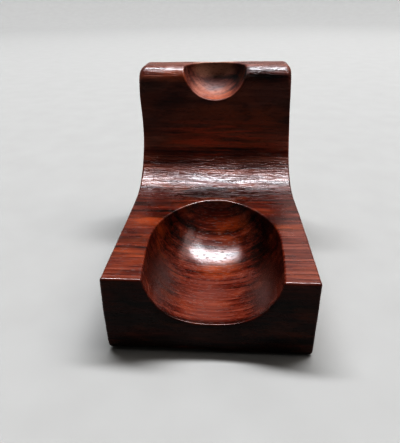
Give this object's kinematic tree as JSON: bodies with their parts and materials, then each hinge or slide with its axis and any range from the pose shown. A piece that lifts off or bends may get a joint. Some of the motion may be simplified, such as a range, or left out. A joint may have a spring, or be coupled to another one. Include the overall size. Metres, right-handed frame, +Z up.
{
  "type": "dip pen holder",
  "caption": "Carved wooden rest: a low block with a spoon-shaped cup open at the front and an upright with a half-round notch for the shaft.",
  "frame": {"origin": "middle of the flat underside, on the table", "axes": "+Z up; the open end of the cup faces -Y and the upright stands at +Y; +X to the right seen from the front, along the grain"},
  "size_m": [0.051, 0.08, 0.058],
  "materials": {
    "rosewood": "hand-rubbed satin gloss, dark rosewood"
  },
  "bodies": {
    "root": {"holder_block": "rosewood"}
  },
  "joints": []
}
